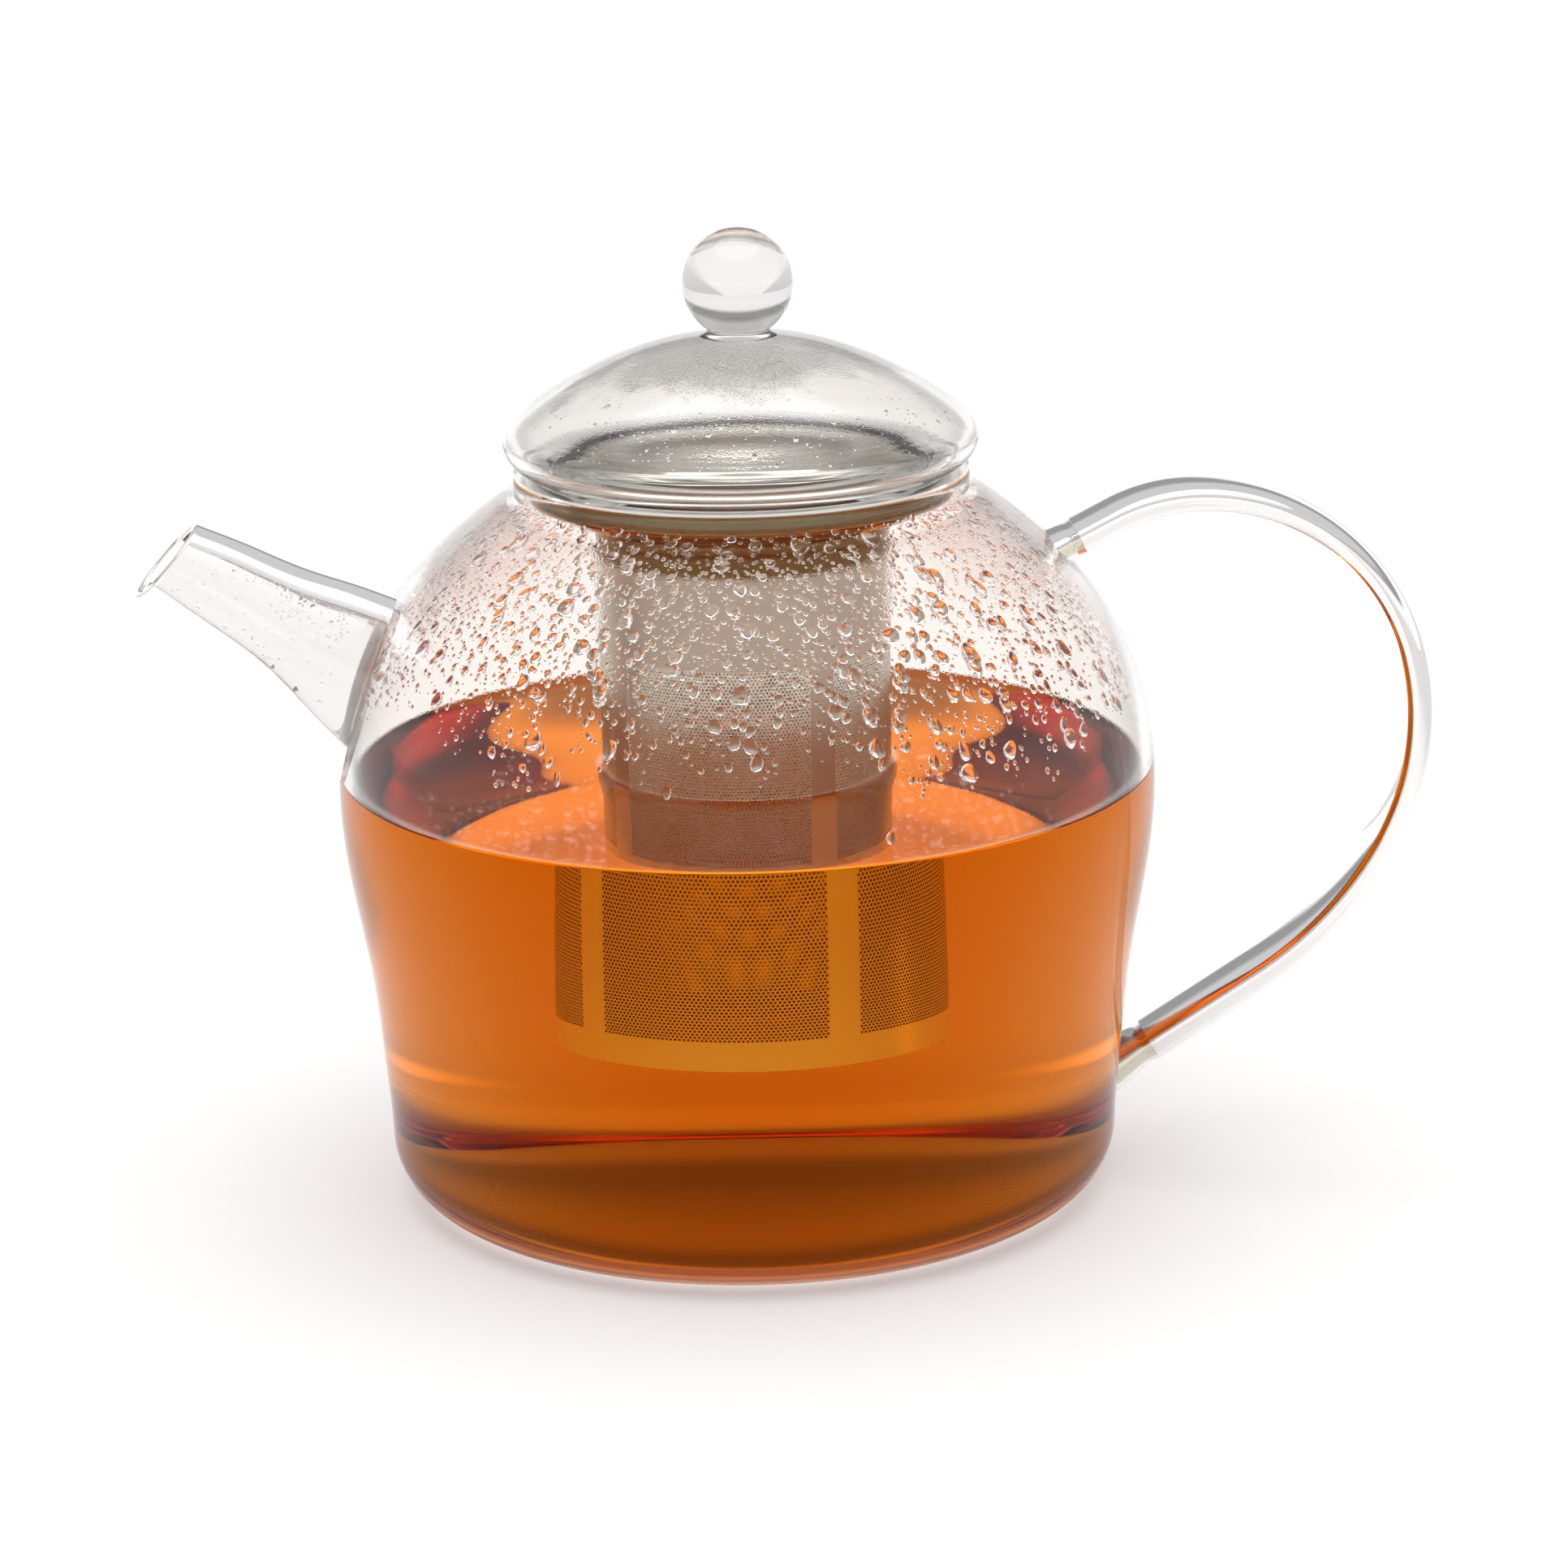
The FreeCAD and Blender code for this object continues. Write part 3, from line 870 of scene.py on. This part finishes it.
def knob_outline():
    """A solid ball on a short flared waist that sits on the dome's crown."""
    waist_r, foot_r = 6.4, 7.0
    crown = dome_line()
    meet = math.asin(waist_r * 0.9 / KNOB_R)
    ball = arc((0, KNOB_Z), KNOB_R, -90 + math.degrees(meet), 90, 60)
    foot_z = float(np.interp(foot_r, crown[:, 0], crown[:, 1])) + FUSED
    low = np.array((foot_r, foot_z))
    waist = []
    for u in np.linspace(0, 1, 12)[:-1]:
        r = (1 - u) ** 2 * low[0] + 2 * u * (1 - u) * (waist_r - 1.1) + u * u * ball[0][0]
        waist.append((r, low[1] + (ball[0][1] - low[1]) * u))
    radii = np.linspace(0, foot_r, 10)[:-1]
    base = np.column_stack([radii, np.interp(radii, crown[:, 0], crown[:, 1]) + FUSED])
    ball[-1, 0] = 0
    return joined(base, waist, ball)


# ---- condensation ----
DROP_SEED = 11
CONTACT_ANGLE = 62.0            # between a drop's edge and the glass


def drop_template(rings, around):
    """A drop of unit radius on a flat base at height 0, as vertices and faces."""
    edge = math.radians(CONTACT_ANGLE)
    ball = 1 / math.sin(edge)
    verts, faces = [], []
    for k in range(rings):
        tip = edge * (1 - k / rings)
        r, z = ball * math.sin(tip), ball * (math.cos(tip) - math.cos(edge))
        angles = [TAU * i / around for i in range(around)]
        verts.extend((r * math.cos(a), r * math.sin(a), z) for a in angles)
    verts.append((0, 0, ball * (1 - math.cos(edge))))
    for k in range(rings - 1):
        for i in range(around):
            j = (i + 1) % around
            a, b = k * around, (k + 1) * around
            faces.append((a + i, a + j, b + j, b + i))
    low = (rings - 1) * around
    faces.extend((low + i, low + (i + 1) % around, len(verts) - 1) for i in range(around))
    faces.append(tuple(range(around))[::-1])
    return np.array(verts), faces


DROP_SIZES = ("drops", "droplets", "beads")
DROP_KINDS = (drop_template(4, 16), drop_template(3, 10), drop_template(2, 7))


def drops_mesh(name, drops, kinds):
    """One object of all the drops of the given kinds. A drop is its place, normal, up, radius,
    stretch and kind."""
    verts, faces, start = [], [], 0
    rng = random.Random(DROP_SEED)
    for place, normal, up, radius, stretch, kind in drops:
        if kind not in kinds:
            continue
        shape, skin = DROP_KINDS[kind]
        side = np.cross(up, normal)
        angles = np.arctan2(shape[:, 1], shape[:, 0])
        oval = 0.1 * np.cos(2 * angles + rng.random() * TAU)
        lobes = 0.07 * np.cos(3 * angles + rng.random() * TAU)
        wobble = 1 + oval + lobes
        sag = radius * 0.25 * (stretch - 0.8)
        clearance = 0.02 + radius * radius / 100
        x = shape[:, 0] * wobble * radius
        y = shape[:, 1] * wobble * radius * stretch - shape[:, 2] * sag
        z = shape[:, 2] * radius * rng.uniform(0.75, 1.0) + clearance
        verts.append(place + np.outer(x, side) + np.outer(y, up) + np.outer(z, normal))
        faces.extend([tuple(start + i for i in face) for face in skin])
        start += len(shape)
    return make_object(name, np.vstack(verts), faces, None, 48)


class Wall:
    """A lathe-turned inner wall to lay drops on, by azimuth and distance along its line."""

    def __init__(self, line, inward):
        self.line = line
        self.normals = left_normals(line) * inward
        steps = np.linalg.norm(np.diff(line, axis=0), axis=1)
        self.along = np.concatenate([[0], np.cumsum(steps)])
        self.length = self.along[-1]

    def at(self, azimuth, distance):
        r, z = (np.interp(distance, self.along, self.line[:, k]) for k in (0, 1))
        nr, nz = (np.interp(distance, self.along, self.normals[:, k]) for k in (0, 1))
        turn = np.array((math.cos(azimuth), math.sin(azimuth)))
        normal = unit((*(turn * nr), nz))
        side = np.array((-turn[1], turn[0], 0))
        up = unit(np.cross(normal, side))
        up = up if up[2] > 0 else -up
        return np.array((*(turn * r), z)), normal, up, r


CELL = 4.0                      # wider than two of the largest drops


def neighbours(taken, key):
    """The drops in a cell and in the eight cells round it."""
    cells = [(key[0] + i, key[1] + j) for i in (-1, 0, 1) for j in (-1, 0, 1)]
    return [drop for cell in cells for drop in taken.get(cell, ())]


def lay_drops(wall, classes, density, rng):
    """Scatters drops without letting them touch. A class is the kind, how often one is tried,
    and the smallest and largest radius. density gives the chance at a place."""
    taken = {}
    drops = []
    widest = wall.line[:, 0].max()
    for kind, tries, small, large in classes:
        for _ in range(tries):
            azimuth, distance = rng.uniform(0, TAU), rng.uniform(0, wall.length)
            chance, radius = rng.random(), small * (large / small) ** (rng.random() ** 1.6)
            place, normal, up, r = wall.at(azimuth, distance)
            if chance * widest > density(azimuth, kind, place) * r:
                continue
            flat = (azimuth * r, distance)
            key = (int(flat[0] // CELL), int(flat[1] // CELL))
            if any(math.hypot(flat[0] - x, flat[1] - y) < radius + other + 0.03
                   for x, y, other in neighbours(taken, key)):
                continue
            taken.setdefault(key, []).append((*flat, radius))
            stretch = 1 + rng.uniform(0, 0.35) * min(1, radius)
            drops.append((place, normal, up, radius / stretch ** 0.5, stretch, kind))
    return drops


def bell(value, middle, width):
    return math.exp(-((value - middle) / width) ** 2)


def turned(azimuth, middle):
    """Degrees from a middle azimuth, the short way round."""
    return (math.degrees(azimuth) - middle + 180) % 360 - 180


# Azimuth and height of a place, and its half widths. Drops have grown large in the clusters
DROP_CLUSTERS = (
    (-66, 107, 15, 9),
    (-128, 116, 12, 8),
    (-40, 104, 10, 8),
    (150, 108, 30, 9),
    (60, 112, 25, 8),
)
BARE_PATCHES = ((-148, 98, 20, 13), (20, 96, 22, 8))
RUN_COUNT = 16
DROPS_START = 95.0              # height at which the drops begin, and how fast they thicken
DROPS_EASE = 12.0
FINE_START = 103.0
POT_DROPS = ((0, 9000, 0.75, 1.9), (1, 26000, 0.4, 0.75), (2, 46000, 0.2, 0.4))
LID_DROPS = ((0, 200, 0.6, 1.0), (1, 1200, 0.32, 0.6), (2, 4000, 0.16, 0.32))


def within(patches, azimuth, z):
    """How far inside the nearest of some patches a place is, from 0 to 1 in its middle."""
    return max(bell(turned(azimuth, a), 0, w) * bell(z, h, t) for a, h, w, t in patches)


def make_condensation():
    """Drops on the inside of the pot between the tea and the neck, with streaks wiped clear by
    drops that have run, and drops in the spout."""
    rng = random.Random(DROP_SEED)
    above = INSIDE[INSIDE[:, 1] > TEA_CONTACT_Z + 2.5]
    wall = Wall(above, 1)
    runs = [(rng.uniform(0, 360), rng.uniform(95, 120), rng.uniform(1.0, 2.2))
            for _ in range(RUN_COUNT)]

    def density(azimuth, kind, place):
        z = place[2]
        if any(z < top and abs(turned(azimuth, a)) < wide for a, top, wide in runs):
            return 0
        coarse, fine = (field.noise(Vector(place) * scale) for scale in (0.09, 0.25))
        patchy = coarse * 0.5 + fine * 0.35
        level = min(1, max(0, (z - DROPS_START + patchy * 22) / DROPS_EASE))
        bare = within(BARE_PATCHES, azimuth, z)
        grown = within(DROP_CLUSTERS, azimuth, z)
        chance = level * (1 - 0.9 * bare)
        high = min(1, max(0, (z - FINE_START) / DROPS_EASE))
        return chance * (0.25 + 1.2 * grown, 0.6 + 0.4 * grown + 0.4 * high, 0.4 + 0.6 * high)[kind]

    drops = lay_drops(wall, POT_DROPS, density, rng)
    for a, top, wide in runs:
        for z, radius in ((top - rng.uniform(8, 14), wide * 0.55), (top, wide * 0.4)):
            if z > TEA_CONTACT_Z + 4:
                distance = float(np.interp(z, above[:, 1], wall.along))
                place, normal, up, _ = wall.at(math.radians(a), distance)
                drops.append((place, normal, up, radius, 1.7, 0))
    spout_drops = lay_spout_drops(rng)
    pieces = [drops_mesh("condensation_%s" % size, drops, (kind,))
              for kind, size in enumerate(DROP_SIZES)]
    return pieces + [drops_mesh("spout_drops", spout_drops, (1, 2))]


def lay_spout_drops(rng):
    """Drops in the spout's bore, densest along its top and beside the pot."""
    rings, count = spout_rings(SPOUT_WALL), SPOUT_SEGMENTS
    drops = []
    for _ in range(2600):
        i, k = rng.randrange(12, len(rings) - 4), rng.randrange(count)
        top = math.sin(TAU * k / count)
        if rng.random() > max(0.12, top) * (1.1 - i / len(rings)):
            continue
        place = rings[i][k] + (rings[i + 1][k] - rings[i][k]) * rng.random()
        around = unit(rings[i][(k + 1) % count] - rings[i][k - 1])
        along = unit(rings[i + 1][k] - rings[i - 1][k])
        normal = unit(np.cross(around, along))
        normal = normal if normal @ (rings[i].mean(0) - place) > 0 else -normal
        radius = rng.uniform(0.18, 0.45)
        if all(np.linalg.norm(place - other[0]) > radius + other[3] for other in drops):
            drops.append((place, normal, along, radius, 1.1, 1 if radius > 0.35 else 2))
    return drops


def make_lid_drops():
    """Fine drops under the dome, with a few grown ones near its edge."""
    rng = random.Random(DROP_SEED + 1)
    inside = shifted(dome_line(), -LID_WALL)[4:-2]
    wall = Wall(inside, -1)

    def density(azimuth, kind, place):
        patchy = field.noise(Vector(place) * 0.12 + Vector((7, 0, 0)))
        low = bell(place[2], 146, 5)
        return max(0, low * 0.5 + patchy * 0.9) * (0.05, 0.25, 0.8)[kind]

    return drops_mesh("lid_drops", lay_drops(wall, LID_DROPS, density, rng), (0, 1, 2))


# ---- build ----
def build_pot():
    """The glass body with its spout, handle and the handle's feet."""
    looks = [clear_glass("blown_glass", (0.985, 0.98, 0.97), WAVY, 0.12, WALL_IOR),
             smooth_glass("wetted_glass", WALL_IOR / WATER_IOR),
             fogged_glass("fogged_glass", 107, 127, 0.14, WALL_IOR),
             smooth_glass("ground_glass", WALL_IOR, 0.35)]
    spout_glass = clear_glass("spout_glass", (0.94, 0.935, 0.925), WAVY, 0.8)
    handle_glass = clear_glass("handle_glass", (0.93, 0.925, 0.91))
    foot_glass = clear_glass("foot_glass", (0.72, 0.7, 0.58), WAVY)

    body = lathe("glass_body_blown", *body_outline())
    dress(body, looks)
    bore = loft("bore", spout_rings(SPOUT_WALL, 0.35))
    cut(body, bore)
    discard(bore)
    finish_piece(body, "pot", "body_glass", looks, "glass_body")

    fill = belly_fill(FUSED)
    finish_piece(make_spout(fill), "pot", "spout_glass", [spout_glass], "spout")
    finish_piece(make_handle(), "pot", "handle_glass", [handle_glass], "handle")
    line = handle_line()
    ends = (("upper", line[0], -1), ("lower", line[-1], 1))
    for which, (place, angle), onwards in ends:
        foot = make_boss("handle_%s_foot" % which, place, heading(angle) * onwards, fill)
        finish_piece(foot, "pot", "handle_glass", [foot_glass], "handle_%s_boss" % which)
    discard(fill)


def build_tea():
    """The brew, with one look where it lies on the glass and one for its open surface."""
    looks = [tea_material("tea_on_glass", 1.0), tea_material("tea_surface", WATER_IOR)]
    finish_piece(lathe("brewed_tea", *tea_outline()), "pot", "tea", looks, "tea")


def build_drops():
    """The condensation in the pot and the spout, which rides on the pot, and that in the lid."""
    water = smooth_glass("condensed_water", WATER_IOR)
    for drops in make_condensation():
        finish_piece(drops, "pot", "body_glass", [water])
    finish_piece(make_lid_drops(), "lid", "lid_glass", [water])


def build_strainer():
    """The perforated sleeve, the spun collar that it hangs from and its bottom cup."""
    rolled = sheet_steel("rolled_steel", ROLLED_STEEL, 0.3)
    above_tea_steel = sheet_steel("darker_steel_above_tea", STEEL_ABOVE_TEA_COLOUR, 0.34)
    perforated = sheet_steel("perforated_steel_painted_shade", SHADED_PERFORATED_STEEL, 0.27)
    # The second and third looks are darker copies of the spun steel: a painted dark reflection and a
    # painted reflection of the tea
    collar_looks = [spun_steel("spun_steel", SPUN_STEEL),
                    spun_steel("painted_dark_reflection_steel", DARK_REFLECTION_STEEL),
                    spun_steel("painted_tea_reflection_steel", TEA_REFLECTION_STEEL)]

    panels, first, width = make_panels()
    sleeve = make_sleeve(first, width)
    finish_piece(sleeve, "strainer", "sleeve_steel", [rolled, above_tea_steel], "strainer_sleeve")
    for panel in panels:
        finish_piece(panel, "strainer", "sleeve_steel", [perforated])
    collar = lathe("strainer_collar_spun", *collar_outline())
    finish_piece(collar, "strainer", "collar_steel", collar_looks, "strainer_collar")
    bottom = lathe("strainer_bottom_cup", bottom_outline())
    finish_piece(bottom, "strainer", "sleeve_steel", [rolled], "strainer_bottom")


def build_lid():
    """The dome, the ring under it and the ball on top."""
    lid_glass = clear_glass("lid_glass", (0.945, 0.94, 0.925))
    knob_glass = clear_glass("knob_glass", (0.85, 0.84, 0.82))
    lid_fog = fogged_glass("fogged_lid_glass", 146, 162, 0.35)

    dome = lathe("lid_dome_blown", *dome_outline())
    finish_piece(dome, "lid", "lid_glass", [lid_glass, lid_fog], "lid_dome")
    ring = lathe("lid_ring", lid_collar_outline())
    finish_piece(ring, "lid", "lid_glass", [lid_glass], "lid_collar")
    knob = lathe("lid_ball_knob", knob_outline(), segments=128)
    finish_piece(knob, "lid", "lid_glass", [knob_glass], "lid_knob")


# ---- studio ----
FLOOR_COLOUR = (0.7, 0.685, 0.68, 1)
FLOOR_HALF = 6000.0
FLOOR_DROP = 0.2                # the floor lies this much below the foot
LIT_PATCHES = ((3.0, 48.0), (38.0, 52.0))   # y of the middle and radius of what is lit from below
LIT_FADE = 17.0
PATCH_GLOW = 1.5
SWEEP_HALF = 190.0              # the white sweep glows too. It widens towards the back
SWEEP_SPREAD = 0.18
SWEEP_FRONT = 230.0
SWEEP_FADE = 210.0
SWEEP_GLOW = 0.36
# How far up, from level at 0 to straight up at 1, and the light from there
WORLD_STOPS = ((0.0, 1.3), (0.16, 1.3), (0.22, 0.4), (0.32, 0.4), (0.42, 0.75), (0.78, 0.75),
               (0.86, 2.6), (1.0, 2.6))
WORLD_STRENGTH = 0.8


def patch_glow(tree, place):
    """Light from two round patches that overlap, one under the pot and one behind it."""
    edges = []
    for middle, radius in LIT_PATCHES:
        away = tree.nodes.new("ShaderNodeVectorMath")
        away.operation = "DISTANCE"
        away.inputs[1].default_value = (0, middle * MM, 0)
        tree.links.new(place, away.inputs[0])
        edges.append(math_node(tree, "SUBTRACT", away.outputs["Value"], radius * MM))
    outside = math_node(tree, "MINIMUM", *edges)
    return remap(tree, outside, 0, LIT_FADE * MM, PATCH_GLOW, 0, True)


def sweep_glow(tree, place):
    """Light from the white sweep that the pot stands on."""
    x, y, _ = axes(tree, place)
    aside = math_node(tree, "SUBTRACT", math_node(tree, "ABSOLUTE", x, 0),
                      math_node(tree, "MULTIPLY", y, SWEEP_SPREAD))
    sides = (SWEEP_HALF * MM, (SWEEP_HALF + SWEEP_FADE) * MM)
    ends = (-(SWEEP_FRONT + SWEEP_FADE) * MM, -SWEEP_FRONT * MM)
    across = remap(tree, aside, *sides, SWEEP_GLOW, 0, True)
    along = remap(tree, y, *ends, 0, 1, True)
    return math_node(tree, "MULTIPLY", across, along)


def make_floor():
    corners = ((-1, -1), (1, -1), (1, 1), (-1, 1))
    verts = [(x * FLOOR_HALF, y * FLOOR_HALF, -FLOOR_DROP) for x, y in corners]
    floor = make_object("studio_floor", verts, [(0, 1, 2, 3)])
    material, tree, shader, _ = new_material("studio_white")
    set_inputs(shader, {"Base Color": FLOOR_COLOUR, "Roughness": 0.9, "Specular IOR Level": 0.1,
                        "Emission Color": (*WHITE, 1)})
    place = coordinates(tree)
    glow = math_node(tree, "ADD", sweep_glow(tree, place), patch_glow(tree, place))
    tree.links.new(glow, shader.inputs["Emission Strength"])
    floor.data.materials.append(material)


def make_world():
    """Soft white light from all round, greyer a little above the horizon and brightest overhead."""
    world = bpy.data.worlds.new("studio")
    bpy.context.scene.world = world
    world.use_nodes = True
    tree = world.node_tree
    tree.nodes.clear()
    output = tree.nodes.new("ShaderNodeOutputWorld")
    background = tree.nodes.new("ShaderNodeBackground")
    source = tree.nodes.new("ShaderNodeTexCoord")
    ramp = tree.nodes.new("ShaderNodeValToRGB")
    tree.links.new(axes(tree, source.outputs["Generated"])["Z"], ramp.inputs["Fac"])
    elements = ramp.color_ramp.elements
    while len(elements) < len(WORLD_STOPS):
        elements.new(0.5)
    for element, (place, level) in zip(elements, WORLD_STOPS):
        element.position = place
        element.color = (level, level, level, 1)
    tree.links.new(ramp.outputs["Color"], background.inputs["Color"])
    set_inputs(background, {"Strength": WORLD_STRENGTH})
    tree.links.new(background.outputs["Background"], output.inputs["Surface"])


CAMERA_AIM = (0, 0, 0.0759)
CAMERA_DISTANCE = 0.9
CAMERA_LENS = 111.93
CAMERA_LIFT, CAMERA_YAW = math.radians(15.774), math.radians(4.0)
CAMERA_PAN, CAMERA_ROLL = math.radians(0.427), math.radians(-1.175)


def make_camera():
    """The view is from the front, a little from the spout's side and above."""
    level, up = math.cos(CAMERA_LIFT), math.sin(CAMERA_LIFT)
    away = Vector((-math.sin(CAMERA_YAW) * level, -math.cos(CAMERA_YAW) * level, up))
    camera = bpy.data.cameras.new("camera")
    camera.sensor_width = 36
    camera.lens = CAMERA_LENS
    camera.clip_start = 0.01
    obj = bpy.data.objects.new("camera", camera)
    bpy.context.scene.collection.objects.link(obj)
    look = (-away).to_track_quat("-Z", "Y").to_matrix().to_4x4()
    look = look @ Matrix.Rotation(-CAMERA_PAN, 4, "Y") @ Matrix.Rotation(CAMERA_ROLL, 4, "Z")
    obj.matrix_world = Matrix.Translation(Vector(CAMERA_AIM) + away * CAMERA_DISTANCE) @ look
    bpy.context.scene.camera = obj


def light_paths():
    """Enough bounces for rays that cross several walls of glass."""
    scene = bpy.context.scene
    scene.view_settings.view_transform = "Standard"
    scene.cycles.max_bounces = 28
    scene.cycles.transmission_bounces = 24
    scene.cycles.glossy_bounces = 8
    scene.cycles.transparent_max_bounces = 24


build_pot()
build_tea()
build_drops()
build_strainer()
build_lid()
make_floor()
make_world()
make_camera()
light_paths()
